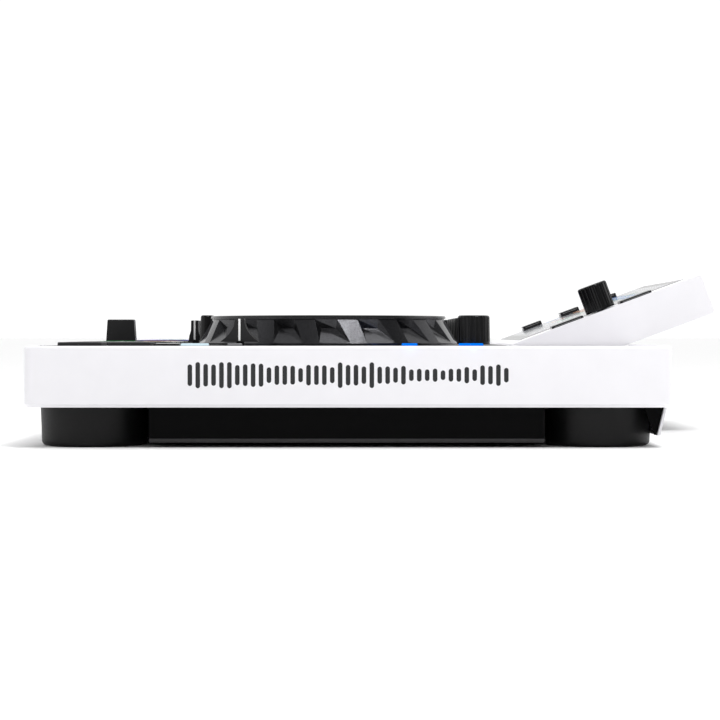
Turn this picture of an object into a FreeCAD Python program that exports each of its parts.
import FreeCAD, Part
import math
import os

# Standalone four channel DJ controller with a raised tilting display.
# Millimetres. +X is the user's right, +Y the rear, +Z up. F is the depth behind the body's front edge.

# Body
WIDTH = 728.7
DEPTH = 496.6
CASE_BOTTOM = 31.2
CASE_TOP = 78.3
CASE_WALL = 3.5
CASE_PLAN_RADIUS = 7.0
CASE_EDGE_RADIUS = 2.6
CASE_LIP = 2.6
REAR_STEP = 1.5
REAR_STEP_F = 380.0
RIM = 4.0

# Tilting display, in its own flat frame: S runs along the slope from its front top edge
SCREEN_HALF_WIDTH = 150.0
SCREEN_LENGTH = 176.9
SCREEN_THICKNESS = 35.6
SCREEN_TILT = 20.35
SCREEN_FRONT_F = 390.7
SCREEN_FRONT_Z = 78.4
SCREEN_WALL = 2.5
SCREEN_CORNER = 3.0
HINGE_INSET = 8.0
HINGE_PIN_RADIUS = 2.0
RUNNING_FIT = 0.05

# Keys, knob and glass of the display, in its flat frame
SCREEN_KEY_X = 132.0
SCREEN_KNOB_S = 85.4
SCREEN_KNOB_RADIUS = 13.25
SCREEN_KNOB_HEIGHT = 24.6
RIGHT_KEYS_S = [(38.5, 68.0), (103.0, 132.5)]
LEFT_KEYS_S = [(36.0, 56.0), (77.0, 97.0), (118.0, 138.0)]
LEFT_KEY_X = -135.0
SCREEN_KEY_HALF = 10.0
GLASS = (-121.0, 115.0, 10.0, 167.0)

# Screen recess in the rear of the case
RECESS_HALF_WIDTH = 152.0
RECESS_FRONT_F = 390.0
RECESS_FLOOR = 44.0
RECESS_WALL = 3.0
HINGE_PIN_INNER = 139.5

# Bottom tray, feet and rear skirt
TRAY_BOTTOM = 3.5
TRAY_HALF_WIDTH = 352.0
TRAY_NARROW_HALF_WIDTH = 262.0
TRAY_WIDE_F = (95.0, 400.0)
TRAY_NARROW_F = (14.0, 466.0)
TRAY_CHAMFER = 3.6
TRAY_WALL = 1.2
FOOT_RADIUS = 42.0
FOOT_X = 311.0
FOOT_FRONT_F = 47.0
FOOT_REAR_F = 445.3
FOOT_EDGE_RADIUS = 4.0
FOOT_SHOULDER = 8.0
SKIRT_HALF_WIDTH = 350.0
SKIRT_TOP_F = 494.5
SKIRT_BOTTOM_F = 489.0
SKIRT_BOTTOM_Z = 9.0
SKIRT_THICKNESS = 2.2
GUSSET_FRONT_F = 477.0

# Faceplates
PLATE_THICKNESS = 2.0
PLATE_FRONT_F = 8.0
PLATE_REAR_F = 377.0
MIXER_HALF_WIDTH = 101.0
DECK_INNER = 1.5

# Decks: places are offsets from the jog wheel's centre line
JOG_X = {"left": -250.0, "right": 212.0}
JOG_F = 230.3
JOG_BASE_RADIUS = 108.6
JOG_TOP_RADIUS = 97.7
JOG_BASE_Z = 79.0
JOG_SHOULDER_Z = 99.5
JOG_WHEEL_TOP = 100.4
JOG_PLATE_TOP = 102.4
JOG_POCKETS = 18
SPINDLE_RADIUS = 20.0
JOG_DISPLAY_RADIUS = 27.0

# Pitch faders and deck knobs, from the jog centre
PITCH_DX = 125.0
PITCH_REST_F = 164.3
PITCH_TRAVEL = 100.0
LOOP_DX = 92.0
LOOP_F = 347.8
LOOP_RADIUS = 13.0
FLUTE_COUNT = 20
FLUTE_RADIUS = 1.6
FLUTE_REACH = 0.8
GRIP_TOP_RADIUS = 1.9

# Pads and keys, from the jog centre
PAD_WIDTH = 34.0
PAD_GAP = 5.0
PAD_DX = -19.0
PAD_ROWS_F = [(23.0, 57.0), (62.0, 95.0)]
TRANSPORT_DX = -105.0
MODE_KEY_PITCH = 33.0
MODE_KEY_WIDTH = 29.5
MODE_KEY_F = (100.0, 110.0)
SYNC_KEY_DX = (-64.0, -26.0)
SYNC_KEY_LENGTH = 14.0
SYNC_KEYS_F = [25.0, 43.0, 63.0, 81.0]
EDGE_KEYS = [((113.0, 133.0), (97.5, 118.0)), ((113.0, 133.0), (119.0, 138.9)),
             ((137.0, 144.0), (155.8, 166.8)), ((114.0, 136.0), (290.2, 301.8)),
             ((114.0, 136.0), (334.8, 352.7))]
VIEW_KEY_DX = -104.0
VIEW_KEY_PITCH = 24.0
VIEW_KEY_WIDTH = 20.0
VIEW_KEY_F = (345.0, 357.0)
KEY_PROUD = 2.8
EDGE_KEY_PROUD = 1.75
KEY_GAP = 0.4

# Mixer
CHANNEL_X = [-69.0, -23.0, 23.0, 69.0]
KNOB_ROWS_F = {"high": 350.0, "mid": 312.0, "low": 274.0}
MIXER_KNOB_RADIUS = 9.5
MIXER_KNOB_TOP_RADIUS = 7.6
KNOB_TOP = 102.3
LEVEL_KNOB_X = {"phones": -92.0, "master": 92.0}
LEVEL_KNOB_F = 117.0
LEVEL_KNOB_TOP = 104.6
LEVEL_KNOB_SHRINK = 1.4
CHANNEL_CAP_HALF_WIDTH = 13.0
CHANNEL_REST_F = 104.7
CHANNEL_TRAVEL = 60.0
MIXER_KEY_HALF = 11.0
MIXER_KEYS_F = [206.0, 228.0]
CROSS_F = 26.7
CROSS_TRAVEL = 22.5
SLOT_HALF = 1.6
SLOT_END = 5.0
SHAFT_RADIUS = 3.0
SHAFT_BOTTOM = 66.0
BOARD_Z = 62.0

# Rear and front sockets; flanges as half width and half height
XLR_X = [178.0, 206.0]
COMBO_X = [238.0, 268.0]
RCA_X = [301.0, 315.0, 329.0]
USB_X = [-182.0, -204.0]
USB_B_X = -226.0
INLET_X = -318.0
SOCKET_Z = 56.0
JACK_X = -318.0
MINI_X = -296.0
JACK_RADIUS = 3.2
JACK_LENGTH = 14.0
FLANGE_DEPTH = 1.6
FACE_F = DEPTH - 0.1
XLR_FLANGE = (13.0, 15.0)
INLET_FLANGE = (20.0, 14.0)
RCA_BEZEL = (22.0, 17.5)
RCA_ROW = 8.5
SOCKET_FIT = 0.2

# Overhang of the rounded rear corner of the tilted display behind the body
TILT = math.radians(SCREEN_TILT)
CORNER_CUT = SCREEN_CORNER * (math.cos(TILT) + math.sin(TILT) - 1.0)
SCREEN_REAR_F = (SCREEN_FRONT_F + SCREEN_LENGTH * math.cos(TILT)
                 + SCREEN_THICKNESS * math.sin(TILT) - CORNER_CUT)
Y_FRONT = -SCREEN_REAR_F / 2.0
HALF = WIDTH / 2.0
PLATE_BOTTOM = CASE_TOP - PLATE_THICKNESS
PLATE_INNER_LEDGE = 3.0
FLANGE_Z = 31.5
FLANGE_TOP = FLANGE_Z + TRAY_WALL


def box(x0, x1, f0, f1, z0, z1):
    return Part.makeBox(x1 - x0, f1 - f0, z1 - z0, FreeCAD.Vector(x0, Y_FRONT + f0, z0))


def post(x, f, z0, z1, radius):
    return Part.makeCylinder(radius, z1 - z0, FreeCAD.Vector(x, Y_FRONT + f, z0))


def cone(x, f, z0, z1, r0, r1):
    return Part.makeCone(r0, r1, z1 - z0, FreeCAD.Vector(x, Y_FRONT + f, z0))


def rear_post(x, z, f0, f1, radius):
    """Cylinder along the depth of the body."""
    return Part.makeCylinder(radius, f1 - f0, FreeCAD.Vector(x, Y_FRONT + f0, z), FreeCAD.Vector(0, 1, 0))


def edges_along(shape, axis):
    found = []
    for edge in shape.Edges:
        if len(edge.Vertexes) == 2:
            run = edge.Vertexes[1].Point.sub(edge.Vertexes[0].Point)
            if abs(abs(run.normalize().dot(axis)) - 1.0) < 1e-6:
                found.append(edge)
    return found


def rounded_box(x0, x1, f0, f1, z0, z1, radius):
    block = box(x0, x1, f0, f1, z0, z1)
    return block.makeFillet(radius, edges_along(block, FreeCAD.Vector(0, 0, 1)))


def top_edges(shape, z):
    return [edge for edge in shape.Edges if all(abs(v.Z - z) < 1e-4 for v in edge.Vertexes)]


def cut_all(shape, tools):
    return shape.cut(Part.makeCompound(tools)) if tools else shape


def fuse_all(shapes):
    return shapes[0].multiFuse(shapes[1:]).removeSplitter()


def tilted(shape):
    """Put a shape from the display's flat frame into its raised place."""
    placed = shape.copy()
    placed.rotate(FreeCAD.Vector(0, 0, 0), FreeCAD.Vector(1, 0, 0), SCREEN_TILT)
    placed.translate(FreeCAD.Vector(0, Y_FRONT + SCREEN_FRONT_F, SCREEN_FRONT_Z))
    return placed


def slab(x0, x1, s0, s1, z0, z1):
    """Box in the display's flat frame."""
    return Part.makeBox(x1 - x0, s1 - s0, z1 - z0, FreeCAD.Vector(x0, s0, z0))


def slab_post(x, s, z0, z1, radius):
    return Part.makeCylinder(radius, z1 - z0, FreeCAD.Vector(x, s, z0))


# ---------------------------------------------------------------- what shows on the decks and the mixer

def pad_places(side):
    """Lower corner and size of every performance pad, as (x0, x1, f0, f1)."""
    places = []
    for f0, f1 in PAD_ROWS_F:
        for column in range(4):
            x0 = JOG_X[side] + PAD_DX + column * (PAD_WIDTH + PAD_GAP)
            places.append((x0, x0 + PAD_WIDTH, f0, f1))
    return places


def transport_place(side, row):
    x0 = JOG_X[side] + TRANSPORT_DX
    f0, f1 = PAD_ROWS_F[row]
    return (x0, x0 + PAD_WIDTH, f0, f1)


def edge_key_places(side):
    """Lit keys beside the pitch fader and the loop knob."""
    centre = JOG_X[side]
    return [(centre + dx0, centre + dx1, f0, f1) for (dx0, dx1), (f0, f1) in EDGE_KEYS]


def key_places(side):
    """Mode, sync and view keys of one deck, as (x0, x1, f0, f1)."""
    centre = JOG_X[side]
    mode_x = [centre + PAD_DX + MODE_KEY_PITCH * i for i in range(4)]
    places = [(x, x + MODE_KEY_WIDTH, MODE_KEY_F[0], MODE_KEY_F[1]) for x in mode_x]
    sync0, sync1 = centre + SYNC_KEY_DX[0], centre + SYNC_KEY_DX[1]
    places += [(sync0, sync1, f, f + SYNC_KEY_LENGTH) for f in SYNC_KEYS_F]
    places += [(x, x + VIEW_KEY_WIDTH, VIEW_KEY_F[0], VIEW_KEY_F[1])
               for x in (centre + VIEW_KEY_DX, centre + VIEW_KEY_DX + VIEW_KEY_PITCH)]
    return places


def mixer_key_places():
    """Channel cue and effect keys, two under each channel's knobs."""
    places = []
    for x in CHANNEL_X:
        places += [(x - MIXER_KEY_HALF, x + MIXER_KEY_HALF, f, f + MIXER_KEY_HALF) for f in MIXER_KEYS_F]
    return places


def knob_places():
    """Centre of every knob that turns in the mixer."""
    places = [(x, f) for x in CHANNEL_X for f in KNOB_ROWS_F.values()]
    return places + [(x, LEVEL_KNOB_F) for x in LEVEL_KNOB_X.values()]


def key_hole(place):
    x0, x1, f0, f1 = place
    return box(x0 - KEY_GAP, x1 + KEY_GAP, f0 - KEY_GAP, f1 + KEY_GAP, PLATE_BOTTOM - 1.0, CASE_TOP + 1.0)


def key_cap(place, proud, radius):
    """Moulded key with rounded corners that stands proud of the plate."""
    x0, x1, f0, f1 = place
    top = CASE_TOP + proud
    cap = rounded_box(x0, x1, f0, f1, PLATE_BOTTOM - 0.8, top, radius)
    return cap.makeFillet(0.7, top_edges(cap, top))


# ---------------------------------------------------------------- shells

def top_case():
    outer = rounded_box(-HALF, HALF, 0, DEPTH, CASE_BOTTOM, CASE_TOP, CASE_PLAN_RADIUS)
    outer = outer.makeFillet(CASE_EDGE_RADIUS, top_edges(outer, CASE_TOP))
    outer = outer.makeChamfer(CASE_LIP, top_edges(outer, CASE_BOTTOM))
    inner = rounded_box(-HALF + CASE_WALL, HALF - CASE_WALL, CASE_WALL, DEPTH - CASE_WALL,
                        CASE_BOTTOM - 1, CASE_TOP - CASE_WALL, CASE_PLAN_RADIUS - CASE_WALL)
    shell = outer.cut(inner)
    wall = RECESS_WALL
    half = RECESS_HALF_WIDTH
    tub = box(-half - wall, half + wall, RECESS_FRONT_F - wall, DEPTH - 0.01,
              RECESS_FLOOR - wall, CASE_TOP - 0.5)
    space = box(-half, half, RECESS_FRONT_F, DEPTH + 5, RECESS_FLOOR, CASE_TOP + 5)
    shell = shell.fuse(tub).cut(space)
    sunk = box(-HALF + RIM, HALF - RIM, PLATE_FRONT_F - 0.3, PLATE_REAR_F + 0.3, PLATE_BOTTOM, CASE_TOP + 1)
    rear = box(-HALF + RIM, HALF - RIM, REAR_STEP_F, DEPTH - RIM, CASE_TOP - REAR_STEP, CASE_TOP + 1)
    shell = cut_all(shell, [sunk, rear] + plate_openings() + vents() + socket_holes() + [hinge_holes()])
    return shell


def plate_openings():
    """Openings in the case's top behind each faceplate, with a ledge left round them."""
    spans = [plate_span("left"), (-MIXER_HALF_WIDTH, MIXER_HALF_WIDTH), plate_span("right")]
    return [box(x0 + PLATE_INNER_LEDGE, x1 - PLATE_INNER_LEDGE, PLATE_FRONT_F + 5.0, PLATE_REAR_F - 5.0,
                CASE_TOP - CASE_WALL - 1, CASE_TOP) for x0, x1 in spans]


def vents():
    """Two banks of cooling slots in the sunk rear of the case."""
    slots = []
    for side in (-1, 1):
        for row in range(3):
            for column in range(8):
                x = side * (182.0 + 21.5 * column)
                f = 424.0 + 12.0 * row
                slots.append(box(x - 8.0, x + 8.0, f - 1.6, f + 1.6, CASE_TOP - 6.0, CASE_TOP))
    return slots


def hinge_point():
    """Depth and height of the display's hinge axis."""
    s = HINGE_INSET
    f = SCREEN_FRONT_F + s * math.cos(TILT) + s * math.sin(TILT)
    z = SCREEN_FRONT_Z + s * math.sin(TILT) - s * math.cos(TILT)
    return f, z


def hinge_rod(half_length, radius):
    f, z = hinge_point()
    start = FreeCAD.Vector(-half_length, Y_FRONT + f, z)
    return Part.makeCylinder(radius, 2 * half_length, start, FreeCAD.Vector(1, 0, 0))


def hinge_holes():
    return hinge_rod(RECESS_HALF_WIDTH + RECESS_WALL + 1.0, HINGE_PIN_RADIUS + RUNNING_FIT)


def screen_hinges():
    """Two steel pins held in the recess walls; the display turns on their inner ends."""
    pins = hinge_rod(RECESS_HALF_WIDTH + RECESS_WALL, HINGE_PIN_RADIUS)
    return pins.cut(hinge_rod(HINGE_PIN_INNER, HINGE_PIN_RADIUS + 1.0))


def bottom_tray():
    inside = 0.4
    flange = rounded_box(-HALF + CASE_WALL + inside, HALF - CASE_WALL - inside, CASE_WALL + inside,
                         DEPTH - CASE_WALL - inside, FLANGE_Z, FLANGE_TOP, CASE_PLAN_RADIUS - CASE_WALL)
    wide0, wide1 = TRAY_WIDE_F
    narrow0, narrow1 = TRAY_NARROW_F
    wide = box(-TRAY_HALF_WIDTH, TRAY_HALF_WIDTH, wide0, wide1, TRAY_BOTTOM, FLANGE_Z)
    low_sides = [edge for edge in edges_along(wide, FreeCAD.Vector(0, 1, 0)) if edge.Vertexes[0].Z < 10.0]
    wide = wide.makeChamfer(TRAY_CHAMFER, low_sides)
    narrow = box(-TRAY_NARROW_HALF_WIDTH, TRAY_NARROW_HALF_WIDTH, narrow0, narrow1, TRAY_BOTTOM, FLANGE_Z)
    t = TRAY_WALL
    hollow_wide = box(-TRAY_HALF_WIDTH + t + TRAY_CHAMFER, TRAY_HALF_WIDTH - t - TRAY_CHAMFER,
                      wide0 + t, wide1 - t, TRAY_BOTTOM + t, FLANGE_TOP + 1)
    hollow_narrow = box(-TRAY_NARROW_HALF_WIDTH + t, TRAY_NARROW_HALF_WIDTH - t,
                        narrow0 + t, narrow1 - t, TRAY_BOTTOM + t, FLANGE_TOP + 1)
    tray = fuse_all([flange, wide, narrow] + skirt_gussets())
    slots = [box(x - 1.5, x + 1.5, 150.0, 330.0, TRAY_BOTTOM - 1, TRAY_BOTTOM + t + 1)
             for x in range(-160, 161, 16)]
    return cut_all(tray, [hollow_wide, hollow_narrow] + slots)


def skirt_gussets():
    """Triangular plates that close the two ends of the rear skirt."""
    inner_top = SKIRT_TOP_F - SKIRT_THICKNESS - 0.2
    inner_base = SKIRT_BOTTOM_F - SKIRT_THICKNESS - 0.2
    outline = [(GUSSET_FRONT_F, FLANGE_Z), (inner_top, FLANGE_Z), (inner_base, SKIRT_BOTTOM_Z + 0.5),
               (inner_base - 1.5, SKIRT_BOTTOM_Z + 0.5)]
    outer = SKIRT_HALF_WIDTH - 3.0
    return [prism(outline, outer - 3.0, outer), prism(outline, -outer, 3.0 - outer)]


def feet():
    """Four round rubber feet with a tapered, rounded base; the rear ones are eased at their upper back."""
    rear = FOOT_REAR_F + FOOT_RADIUS
    shoulder = box(-HALF, HALF, 0, rear, 0, FLANGE_Z)
    back_edge = [edge for edge in top_edges(shoulder, FLANGE_Z) if min(v.Y for v in edge.Vertexes) > 0]
    shoulder = shoulder.makeFillet(FOOT_SHOULDER, back_edge)
    made = []
    for x in (-FOOT_X, FOOT_X):
        for f in (FOOT_FRONT_F, FOOT_REAR_F):
            foot = cone(x, f, 0, FLANGE_Z, FOOT_RADIUS - 1.2, FOOT_RADIUS)
            foot = foot.makeFillet(FOOT_EDGE_RADIUS, top_edges(foot, 0))
            made.append(foot.common(shoulder))
    return Part.makeCompound(made)


def rear_panel():
    """Sloping white skirt under the rear edge."""
    thick = SKIRT_THICKNESS
    outline = [(SKIRT_TOP_F, CASE_BOTTOM), (SKIRT_BOTTOM_F, SKIRT_BOTTOM_Z),
               (SKIRT_BOTTOM_F - thick, SKIRT_BOTTOM_Z), (SKIRT_TOP_F - thick, CASE_BOTTOM)]
    return prism(outline, -SKIRT_HALF_WIDTH, SKIRT_HALF_WIDTH)


# ---------------------------------------------------------------- faceplates

def plate_span(side):
    """Left and right edges of a deck's faceplate."""
    inner = MIXER_HALF_WIDTH + DECK_INNER - 1.0
    return (-HALF + 4.5, -inner) if side == "left" else (inner, HALF - 4.5)


def deck_panel(side):
    x0, x1 = plate_span(side)
    centre = JOG_X[side]
    plate = box(x0, x1, PLATE_FRONT_F, PLATE_REAR_F, PLATE_BOTTOM, CASE_TOP)
    holes = [key_hole(place) for place in pad_places(side) + key_places(side) + edge_key_places(side)]
    holes += [key_hole(transport_place(side, row)) for row in (0, 1)]
    holes.append(post(centre, JOG_F, PLATE_BOTTOM - 1, CASE_TOP + 1, SPINDLE_RADIUS + 9.0))
    holes.append(post(centre + LOOP_DX, LOOP_F, PLATE_BOTTOM - 1, CASE_TOP + 1, SHAFT_RADIUS + 1.0))
    slot = centre + PITCH_DX
    holes.append(box(slot - SLOT_HALF, slot + SLOT_HALF, PITCH_REST_F - SLOT_END,
                     PITCH_REST_F + PITCH_TRAVEL + SLOT_END, PLATE_BOTTOM - 1, CASE_TOP + 1))
    return cut_all(plate, holes)


def mixer_panel():
    plate = box(-MIXER_HALF_WIDTH, MIXER_HALF_WIDTH, PLATE_FRONT_F, PLATE_REAR_F, PLATE_BOTTOM, CASE_TOP)
    holes = [post(x, f, PLATE_BOTTOM - 1, CASE_TOP + 1, SHAFT_RADIUS + 1.0) for x, f in knob_places()]
    holes += [key_hole(place) for place in mixer_key_places()]
    for x in CHANNEL_X:
        holes.append(box(x - SLOT_HALF, x + SLOT_HALF, CHANNEL_REST_F - SLOT_END,
                         CHANNEL_REST_F + CHANNEL_TRAVEL + SLOT_END, PLATE_BOTTOM - 1, CASE_TOP + 1))
    cross = CROSS_TRAVEL + SLOT_END
    holes.append(box(-cross, cross, CROSS_F - SLOT_HALF, CROSS_F + SLOT_HALF,
                     PLATE_BOTTOM - 1, CASE_TOP + 1))
    return cut_all(plate, holes)


# ---------------------------------------------------------------- jog wheels

def polar(radius, degrees, z):
    a = math.radians(degrees)
    return FreeCAD.Vector(radius * math.cos(a), radius * math.sin(a), z)


def pocket_cutter():
    """One slanted grip pocket: a ceiling and a floor facet that meet in a valley."""
    out = 7.0
    top_left = polar(98.0, 14.7, 99.2)
    top_right = polar(98.0, 25.3, 99.2)
    valley_left = polar(96.2, 17.8, 91.9)
    valley_right = polar(97.3, 24.7, 91.9)
    base_left = polar(108.9, 17.4, 80.2)
    base_right = polar(108.9, 30.75, 80.2)
    top_left_out = polar(98.0 + out, 14.7, 99.2)
    top_right_out = polar(98.0 + out, 25.3, 99.2)
    base_left_out = polar(108.9 + out, 17.4, 80.2)
    base_right_out = polar(108.9 + out, 30.75, 80.2)
    triangles = [
        (top_left, top_right, valley_right), (top_left, valley_right, valley_left),
        (valley_left, valley_right, base_right), (valley_left, base_right, base_left),
        (top_left, valley_left, base_left), (top_right, base_right, valley_right),
        (top_left, base_left, base_left_out), (top_left, base_left_out, top_left_out),
        (top_right, top_right_out, base_right_out), (top_right, base_right_out, base_right),
        (top_left, top_left_out, top_right_out), (top_left, top_right_out, top_right),
        (base_left, base_right, base_right_out), (base_left, base_right_out, base_left_out),
        (top_left_out, base_left_out, base_right_out), (top_left_out, base_right_out, top_right_out),
    ]
    faces = [Part.Face(Part.makePolygon([a, b, c, a])) for a, b, c in triangles]
    solid = Part.makeSolid(Part.makeShell(faces))
    return solid if solid.Volume > 0 else solid.reversed()


def jog_wheel(side):
    """Rim with grip pockets, a web and a hub sleeve that runs on the fixed spindle."""
    bore = SPINDLE_RADIUS + RUNNING_FIT
    outline = [(bore, 80.0), (26.0, 80.0), (26.0, 92.0), (89.0, 92.0), (92.0, JOG_BASE_Z),
               (JOG_BASE_RADIUS, JOG_BASE_Z), (JOG_BASE_RADIUS, 80.0), (JOG_TOP_RADIUS, JOG_SHOULDER_Z),
               (JOG_TOP_RADIUS, JOG_WHEEL_TOP), (88.0, JOG_WHEEL_TOP), (88.0, 96.0), (bore, 96.0)]
    points = [FreeCAD.Vector(r, 0, z) for r, z in outline]
    face = Part.Face(Part.makePolygon(points + points[:1]))
    wheel = face.revolve(FreeCAD.Vector(0, 0, 0), FreeCAD.Vector(0, 0, 1), 360)
    cutter = pocket_cutter()
    cutters = []
    for index in range(JOG_POCKETS):
        turned = cutter.copy()
        turned.rotate(FreeCAD.Vector(0, 0, 0), FreeCAD.Vector(0, 0, 1), index * 360.0 / JOG_POCKETS)
        cutters.append(turned)
    wheel = wheel.cut(Part.makeCompound(cutters))
    wheel.translate(FreeCAD.Vector(JOG_X[side], Y_FRONT + JOG_F, 0))
    return wheel


def jog_plate(side):
    """Touch-sensitive top disc, let into the wheel."""
    x = JOG_X[side]
    disc = post(x, JOG_F, JOG_WHEEL_TOP, JOG_PLATE_TOP, JOG_TOP_RADIUS + 1.2)
    disc = disc.makeFillet(0.8, top_edges(disc, JOG_PLATE_TOP))
    plug = post(x, JOG_F, 97.0, JOG_WHEEL_TOP, 87.5)
    hole = post(x, JOG_F, 96.0, JOG_PLATE_TOP + 1, JOG_DISPLAY_RADIUS + 1.0)
    return disc.fuse(plug).cut(hole)


def jog_bearings():
    """Fixed spindle of each wheel: flange under the faceplate, shaft, and a seat for the display."""
    made = []
    for x in JOG_X.values():
        made.append(fuse_all([
            post(x, JOG_F, 70.0, PLATE_BOTTOM, 40.0),
            post(x, JOG_F, PLATE_BOTTOM, 97.0, SPINDLE_RADIUS),
            post(x, JOG_F, PLATE_BOTTOM - 0.1, 79.4, SPINDLE_RADIUS + 8.0),
        ]))
    return Part.makeCompound(made)


def jog_displays():
    """Round display in the middle of each wheel, fixed to the spindle."""
    made = []
    for x in JOG_X.values():
        display = post(x, JOG_F, 97.0, JOG_PLATE_TOP - 0.3, JOG_DISPLAY_RADIUS)
        made.append(display.makeFillet(0.6, top_edges(display, JOG_PLATE_TOP - 0.3)))
    return Part.makeCompound(made)


# ---------------------------------------------------------------- knobs, faders, keys

def shaft(x, f, top):
    return post(x, f, SHAFT_BOTTOM, top, SHAFT_RADIUS)


def flute_places(x, y, radius):
    """Centres of the grip flutes round a knob."""
    reach = radius + FLUTE_REACH
    angles = [2 * math.pi * index / FLUTE_COUNT for index in range(FLUTE_COUNT)]
    return [(x + reach * math.cos(a), y + reach * math.sin(a)) for a in angles]


def loop_knob(side):
    """Upright knob with round grip flutes, on a shaft."""
    x = JOG_X[side] + LOOP_DX
    z0 = CASE_TOP + 0.7
    body = cone(x, LOOP_F, z0, KNOB_TOP, LOOP_RADIUS, LOOP_RADIUS - 0.4)
    body = body.makeFillet(GRIP_TOP_RADIUS, top_edges(body, KNOB_TOP))
    places = flute_places(x, LOOP_F, LOOP_RADIUS)
    flutes = [post(px, pf, z0 + 2.4, KNOB_TOP + 1, FLUTE_RADIUS) for px, pf in places]
    return cut_all(body, flutes).fuse(shaft(x, LOOP_F, z0 + 1))


def mixer_knob(x, f, top=KNOB_TOP, shrink=0.0):
    """Round knob on a skirt, with a pointer groove towards the rear."""
    z0 = CASE_TOP + 0.7
    base = MIXER_KNOB_RADIUS - shrink
    grip = MIXER_KNOB_TOP_RADIUS - shrink
    skirt = cone(x, f, z0, z0 + 3.0, base, base - 0.7)
    body = cone(x, f, z0 + 3.0, top, grip + 0.5, grip - 0.6)
    body = body.makeFillet(1.8, top_edges(body, top))
    groove = box(x - 0.7, x + 0.7, f + 1.5, f + MIXER_KNOB_RADIUS + 1, top - 0.7, top + 1)
    return fuse_all([skirt, body, shaft(x, f, z0 + 1)]).cut(groove)


def prism(points, x0, x1):
    """Closed outline of (depth, height) points, extruded across the body."""
    corners = [FreeCAD.Vector(x0, Y_FRONT + f, z) for f, z in points]
    return Part.Face(Part.makePolygon(corners + corners[:1])).extrude(FreeCAD.Vector(x1 - x0, 0, 0))


def crossfader():
    z0, z1 = 80.6, 101.4
    cap = prism([(CROSS_F - 14, z0), (CROSS_F + 14, z0), (CROSS_F + 12.6, z1), (CROSS_F - 12.6, z1)], -6, 6)
    cap = cap.makeFillet(1.2, top_edges(cap, z1))
    stem = box(-3, 3, CROSS_F - 0.8, CROSS_F + 0.8, 70.0, z0 + 1)
    return cap.fuse(stem)


def channel_fader(x):
    z0, z1 = 80.6, 100.0
    f = CHANNEL_REST_F
    outline = [(f - 5.5, z0), (f + 5.5, z0), (f + 4.9, z0 + 5), (f + 3.4, z0 + 10), (f + 3.2, z1),
               (f - 3.2, z1), (f - 3.4, z0 + 10), (f - 4.9, z0 + 5)]
    cap = prism(outline, x - CHANNEL_CAP_HALF_WIDTH, x + CHANNEL_CAP_HALF_WIDTH)
    cap = cap.makeFillet(0.8, top_edges(cap, z1))
    stem = box(x - 0.8, x + 0.8, f - 3, f + 3, 70.0, z0 + 1)
    return cap.fuse(stem)


def pitch_fader(side):
    """Long cap whose finger rest flares out towards its base."""
    z0, z1 = 81.4, 99.1
    f = PITCH_REST_F
    x = JOG_X[side] + PITCH_DX
    rise = z1 - z0
    steps = 6
    flare = [(3.75 + 11.25 * (1 - i / steps) ** 2.2, z0 + rise * i / steps) for i in range(steps + 1)]
    outline = [(f + half, z) for half, z in flare] + [(f - half, z) for half, z in reversed(flare)]
    cap = prism(outline, x - 9, x + 9)
    stem = box(x - 0.8, x + 0.8, f - 3, f + 3, 70.0, z0 + 1)
    return cap.fuse(stem)


def channel_unit(x, f0, f1):
    """Open-topped fader housing under a slot that runs front to rear."""
    shell = box(x - 7, x + 7, f0 - 12, f1 + 12, 64.0, PLATE_BOTTOM)
    return shell.cut(box(x - 3, x + 3, f0 - 8, f1 + 8, 67.0, PLATE_BOTTOM + 1))


def fader_units():
    units = [channel_unit(x, CHANNEL_REST_F, CHANNEL_REST_F + CHANNEL_TRAVEL) for x in CHANNEL_X]
    units += [channel_unit(x + PITCH_DX, PITCH_REST_F, PITCH_REST_F + PITCH_TRAVEL) for x in JOG_X.values()]
    cross = box(-CROSS_TRAVEL - 12, CROSS_TRAVEL + 12, CROSS_F - 7, CROSS_F + 7, 64.0, PLATE_BOTTOM)
    room = box(-CROSS_TRAVEL - 8, CROSS_TRAVEL + 8, CROSS_F - 3, CROSS_F + 3, 67.0, PLATE_BOTTOM + 1)
    units.append(cross.cut(room))
    return Part.makeCompound(units)


def key_bank(places, radius=1.5):
    return Part.makeCompound([key_cap(place, KEY_PROUD, radius) for place in places])


def deck_keys(side):
    edge = [key_cap(place, EDGE_KEY_PROUD, 1.5) for place in edge_key_places(side)]
    return Part.makeCompound([key_bank(key_places(side))] + edge)


# ---------------------------------------------------------------- inside

def control_boards():
    """Boards that hang under the faceplates and carry a socket for every knob shaft."""
    boards = []
    spots = {"mixer": knob_places()}
    for side in JOG_X:
        spots[side] = [(JOG_X[side] + LOOP_DX, LOOP_F)]
    spans = {"mixer": (-98.0, 98.0, 190.0, 365.0)}
    for side in JOG_X:
        spans[side] = (JOG_X[side] + LOOP_DX - 14.0, JOG_X[side] + LOOP_DX + 40.0, 318.0, 365.0)
    for name, (x0, x1, f0, f1) in spans.items():
        pieces = [box(x0, x1, f0, f1, BOARD_Z, BOARD_Z + 1.6)]
        if name == "mixer":
            pieces.append(box(-98.0, -84.0, 100.0, 190.0, BOARD_Z, BOARD_Z + 1.6))
            pieces.append(box(84.0, 98.0, 100.0, 190.0, BOARD_Z, BOARD_Z + 1.6))
        for x, f in spots[name]:
            pieces.append(box(x - 5.5, x + 5.5, f - 5.5, f + 5.5, BOARD_Z + 1.6, 73.0))
        board = fuse_all(pieces)
        bores = [post(x, f, SHAFT_BOTTOM - 0.5, 74.0, SHAFT_RADIUS + RUNNING_FIT) for x, f in spots[name]]
        boards.append(cut_all(board, bores))
    return Part.makeCompound(boards)


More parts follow.
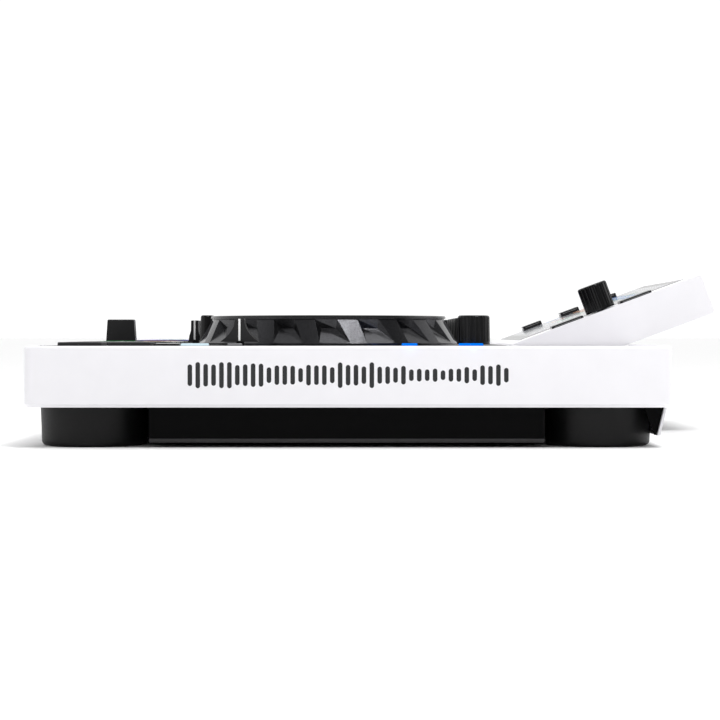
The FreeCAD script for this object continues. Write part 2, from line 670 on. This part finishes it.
def main_board():
    """Processor board in the tray with a finned heat sink and connectors."""
    board = box(-190.0, 190.0, 60.0, 380.0, 12.0, 13.6)
    parts = [board]
    for column in range(7):
        parts.append(box(-60.0 + 8.0 * column, -57.0 + 8.0 * column, 180.0, 240.0, 13.6, 30.0))
    parts += [box(30.0, 60.0, 190.0, 220.0, 13.6, 16.0), box(90.0, 130.0, 120.0, 140.0, 13.6, 20.0)]
    floor = TRAY_BOTTOM + TRAY_WALL
    parts += [post(x, f, floor, 12.0, 3.5) for x in (-180.0, 180.0) for f in (70.0, 140.0, 340.0)]
    return fuse_all(parts)


def power_supply():
    """Vented steel can in the tray beside the main board."""
    can = box(-255.0, -205.0, 300.0, 440.0, TRAY_BOTTOM + TRAY_WALL, 40.0)
    can = can.cut(box(-253.5, -206.5, 301.5, 438.5, 7.5, 38.5))
    slots = [box(-250.0, -210.0, 312.0 + 12.0 * i, 316.0 + 12.0 * i, 38.0, 41.0) for i in range(10)]
    return cut_all(can, slots)


def case_screws():
    """Pan-head screws that close the tray to the case."""
    made = []
    for x in (-250.0, -84.0, 84.0, 250.0):
        for f in (8.0, 478.0):
            made.append(post(x, f, 29.6, FLANGE_Z, 3.5).fuse(post(x, f, FLANGE_Z - 0.5, FLANGE_Z, 1.5)))
    return Part.makeCompound(made)


# ---------------------------------------------------------------- sockets

def around(x, half, grow, f0, f1):
    """Block centred on a socket, half its width and height given."""
    width, height = half[0] + grow, half[1] + grow
    return box(x - width, x + width, f0, f1, SOCKET_Z - height, SOCKET_Z + height)


def contact_places(x, radius):
    """Three contacts of a round audio connector."""
    angles = [math.radians(a) for a in (90, 210, 330)]
    return [(x + radius * math.cos(a), SOCKET_Z + radius * math.sin(a)) for a in angles]


def socket_holes():
    f0, f1 = DEPTH - CASE_WALL - 1, DEPTH + 1
    pocket = DEPTH - FLANGE_DEPTH
    holes = [rear_post(x, SOCKET_Z, f0, f1, 11.2) for x in XLR_X + COMBO_X]
    holes += [around(x, XLR_FLANGE, SOCKET_FIT, pocket, f1) for x in XLR_X + COMBO_X]
    holes.append(around(RCA_X[1], RCA_BEZEL, SOCKET_FIT, f0, f1))
    holes += [around(x, (7.4, 3.9), SOCKET_FIT, f0, f1) for x in USB_X]
    holes.append(around(USB_B_X, (6.4, 5.9), SOCKET_FIT, f0, f1))
    holes.append(around(INLET_X, (14.0, 10.5), SOCKET_FIT, f0, f1))
    holes.append(around(INLET_X, INLET_FLANGE, SOCKET_FIT, pocket, f1))
    front0, front1 = -1.0, CASE_WALL + 1.0
    holes.append(rear_post(JACK_X, SOCKET_Z, front0, front1, 5.6))
    holes.append(rear_post(MINI_X, SOCKET_Z, front0, front1, 3.6))
    return holes


def round_connector(x):
    """Body and square flange, let in flush with the rear wall."""
    body = rear_post(x, SOCKET_Z, DEPTH - 20, DEPTH - FLANGE_DEPTH, 11.0)
    return body.fuse(around(x, XLR_FLANGE, 0.0, DEPTH - FLANGE_DEPTH, FACE_F))


def xlr_output(x):
    """Deep cup with three pins."""
    cup = round_connector(x).cut(rear_post(x, SOCKET_Z, DEPTH - 16, DEPTH + 2, 9.3))
    pins = [rear_post(px, pz, DEPTH - 17, DEPTH - 6, 1.2) for px, pz in contact_places(x, 3.8)]
    return fuse_all([cup] + pins)


def combo_input(x):
    """Central jack bore and three contact holes."""
    holes = [rear_post(x, SOCKET_Z, DEPTH - 18, DEPTH + 2, JACK_RADIUS)]
    holes += [rear_post(px, pz, DEPTH - 14, DEPTH + 2, 1.3) for px, pz in contact_places(x, 6.6)]
    return cut_all(round_connector(x), holes)


def rca_outputs():
    """Six round line sockets that stand in one recessed bezel."""
    x = RCA_X[1]
    bezel = around(x, RCA_BEZEL, 0.0, DEPTH - 12, FACE_F)
    bezel = bezel.cut(around(x, RCA_BEZEL, -1.5, DEPTH - 10, DEPTH + 1))
    posts = []
    for px in RCA_X:
        for dz in (-RCA_ROW, RCA_ROW):
            tube = rear_post(px, SOCKET_Z + dz, DEPTH - 11, DEPTH - 0.6, 4.1)
            posts.append(tube.cut(rear_post(px, SOCKET_Z + dz, DEPTH - 9, DEPTH, 1.6)))
    return fuse_all([bezel] + posts)


def headphone_jack():
    """Front jack bushing with an open bore."""
    bush = rear_post(JACK_X, SOCKET_Z, 0.0, JACK_LENGTH + 4.0, 5.4)
    return bush.cut(rear_post(JACK_X, SOCKET_Z, -1.0, JACK_LENGTH, JACK_RADIUS))


def mini_jack():
    bush = rear_post(MINI_X, SOCKET_Z, 0.0, 14.0, 3.4)
    return bush.cut(rear_post(MINI_X, SOCKET_Z, -2.0, 12.0, 1.8))


def audio_sockets():
    made = [xlr_output(x) for x in XLR_X] + [combo_input(x) for x in COMBO_X]
    return Part.makeCompound(made + [rca_outputs(), headphone_jack(), mini_jack()])


def usb_host(x):
    shell = around(x, (7.4, 3.9), 0.0, DEPTH - 18, FACE_F)
    shell = shell.cut(around(x, (6.5, 3.0), 0.0, DEPTH - 14, DEPTH + 2))
    tongue = box(x - 5.5, x + 5.5, DEPTH - 15, DEPTH - 5, SOCKET_Z + 0.9, SOCKET_Z + 2.6)
    return shell.fuse(tongue)


def usb_device():
    shell = around(USB_B_X, (6.4, 5.9), 0.0, DEPTH - 18, FACE_F)
    return shell.cut(around(USB_B_X, (4.6, 4.4), 0.0, DEPTH - 12, DEPTH + 2))


def mains_inlet():
    """Three-pin mains inlet in a moulded flange."""
    x = INLET_X
    body = around(x, (14.0, 10.5), 0.0, DEPTH - 22, DEPTH - FLANGE_DEPTH)
    flange = around(x, INLET_FLANGE, 0.0, DEPTH - FLANGE_DEPTH, FACE_F)
    room = around(x, (12.2, 8.2), 0.0, DEPTH - 18, DEPTH + 3)
    blades = [box(x + dx - 1, x + dx + 1, DEPTH - 19, DEPTH - 7, SOCKET_Z - 2 + dz, SOCKET_Z + 2 + dz)
              for dx, dz in ((-7.0, -1.5), (0.0, 2.5), (7.0, -1.5))]
    return fuse_all([body.fuse(flange).cut(room)] + blades)


def data_power_sockets():
    return Part.makeCompound([usb_host(x) for x in USB_X] + [usb_device(), mains_inlet()])


# ---------------------------------------------------------------- display unit

def screen_key(x, span, proud):
    s0, s1 = span
    cap = slab(x - SCREEN_KEY_HALF, x + SCREEN_KEY_HALF, s0, s1, -SCREEN_WALL - 1.5, proud)
    cap = cap.makeFillet(2.0, edges_along(cap, FreeCAD.Vector(0, 0, 1)))
    return cap.makeFillet(0.6, top_edges(cap, proud))


def screen_case():
    """White upper shell: pocket for the glass, holes for keys, bosses for the knob and the hinge."""
    half = SCREEN_HALF_WIDTH
    outer = slab(-half, half, 0, SCREEN_LENGTH, -SCREEN_THICKNESS, 0)
    outer = outer.makeFillet(SCREEN_CORNER, edges_along(outer, FreeCAD.Vector(1, 0, 0)))
    wall = SCREEN_WALL
    inner = slab(-half + wall, half - wall, wall, SCREEN_LENGTH - wall, -SCREEN_THICKNESS - 1, -wall)
    bosses = [slab(side * 143.5 - 5.0, side * 143.5 + 5.0, 1.0, 14.0, -14.0, -1.0) for side in (-1, 1)]
    bosses.append(slab_post(SCREEN_KEY_X, SCREEN_KNOB_S, -14.0, -wall + 0.5, 8.0))
    shell = fuse_all([outer.cut(inner)] + bosses)
    x0, x1, s0, s1 = GLASS
    gap = KEY_GAP
    cuts = [slab(x0 - 0.2, x1 + 0.2, s0 - 0.2, s1 + 0.2, -1.6, 1.0),
            slab(x0 + 6, x1 - 6, s0 + 6, s1 - 6, -wall - 1, 1.0)]
    for x, spans in ((SCREEN_KEY_X, RIGHT_KEYS_S), (LEFT_KEY_X, LEFT_KEYS_S)):
        for k0, k1 in spans:
            half_key = SCREEN_KEY_HALF + gap
            cuts.append(slab(x - half_key, x + half_key, k0 - gap, k1 + gap, -wall - 1, 1.0))
    cuts.append(slab_post(SCREEN_KEY_X, SCREEN_KNOB_S, -12.5, 1.0, SHAFT_RADIUS + RUNNING_FIT))
    underside = -SCREEN_THICKNESS
    cuts.append(slab(1.4 - half, half - 1.4, 3.2, SCREEN_LENGTH - 3.2, underside - 1, underside + 2.2))
    placed = tilted(cut_all(shell, cuts))
    return placed.cut(hinge_rod(half + 1.0, HINGE_PIN_RADIUS + RUNNING_FIT))


def screen_back():
    """Cover let into the underside of the display."""
    half = SCREEN_HALF_WIDTH - 1.6
    plate = slab(-half, half, 3.4, SCREEN_LENGTH - 3.4, -SCREEN_THICKNESS, -SCREEN_THICKNESS + 2.2)
    slots = [slab(x - 1.5, x + 1.5, 60.0, 120.0, -SCREEN_THICKNESS - 1, -SCREEN_THICKNESS + 3)
             for x in range(-100, 101, 20)]
    return tilted(cut_all(plate, slots))


def screen_glass():
    x0, x1, s0, s1 = GLASS
    return tilted(slab(x0, x1, s0, s1, -1.5, 0.2))


def screen_knob():
    """Fluted knob that stands square to the display's face."""
    z0 = 0.8
    body = slab_post(SCREEN_KEY_X, SCREEN_KNOB_S, z0, SCREEN_KNOB_HEIGHT, SCREEN_KNOB_RADIUS)
    body = body.makeFillet(GRIP_TOP_RADIUS, top_edges(body, SCREEN_KNOB_HEIGHT))
    places = flute_places(SCREEN_KEY_X, SCREEN_KNOB_S, SCREEN_KNOB_RADIUS)
    knob = cut_all(body, [slab_post(x, s, z0 + 2.4, SCREEN_KNOB_HEIGHT + 1, FLUTE_RADIUS) for x, s in places])
    return tilted(knob.fuse(slab_post(SCREEN_KEY_X, SCREEN_KNOB_S, -11.5, z0 + 1, SHAFT_RADIUS)))


def save(name, shape):
    shape.exportStep("parts/" + name + ".step")
    box_size = shape.BoundBox
    print("%-24s solids %2d valid %s volume %9.0f  z %6.1f to %6.1f" % (
        name, len(shape.Solids), shape.isValid(), shape.Volume, box_size.ZMin, box_size.ZMax))


def main():
    os.makedirs("parts", exist_ok=True)
    save("top_case", top_case())
    save("bottom_tray", bottom_tray())
    save("feet", feet())
    save("rear_panel", rear_panel())
    save("mixer_panel", mixer_panel())
    save("audio_sockets", audio_sockets())
    save("data_power_sockets", data_power_sockets())
    save("control_boards", control_boards())
    save("main_board", main_board())
    save("power_supply", power_supply())
    save("jog_bearings", jog_bearings())
    save("jog_displays", jog_displays())
    save("fader_units", fader_units())
    save("case_screws", case_screws())
    save("screen_hinges", screen_hinges())
    save("screen_case", screen_case())
    save("screen_back", screen_back())
    save("screen_glass", screen_glass())
    save("screen_knob", screen_knob())
    save("screen_exit_button", tilted(screen_key(SCREEN_KEY_X, RIGHT_KEYS_S[0], 2.2)))
    save("screen_enter_button", tilted(screen_key(SCREEN_KEY_X, RIGHT_KEYS_S[1], 2.2)))
    side_keys = [tilted(screen_key(LEFT_KEY_X, span, 4.0)) for span in LEFT_KEYS_S]
    save("screen_side_buttons", Part.makeCompound(side_keys))
    save("crossfader", crossfader())
    for number, x in enumerate(CHANNEL_X, 1):
        save("channel_fader_%d" % number, channel_fader(x))
        for row, f in KNOB_ROWS_F.items():
            save("%s_knob_%d" % (row, number), mixer_knob(x, f))
    for name, x in LEVEL_KNOB_X.items():
        save(name + "_knob", mixer_knob(x, LEVEL_KNOB_F, LEVEL_KNOB_TOP, LEVEL_KNOB_SHRINK))
    save("mixer_keys", key_bank(mixer_key_places()))
    for side in JOG_X:
        save("deck_panel_" + side, deck_panel(side))
        save("jog_wheel_" + side, jog_wheel(side))
        save("jog_plate_" + side, jog_plate(side))
        save("pitch_fader_" + side, pitch_fader(side))
        save("loop_knob_" + side, loop_knob(side))
        save("play_button_" + side, key_cap(transport_place(side, 0), KEY_PROUD, 4.0))
        save("cue_button_" + side, key_cap(transport_place(side, 1), KEY_PROUD, 4.0))
        save("pads_" + side, key_bank(pad_places(side), 2.5))
        save("deck_keys_" + side, deck_keys(side))


main()
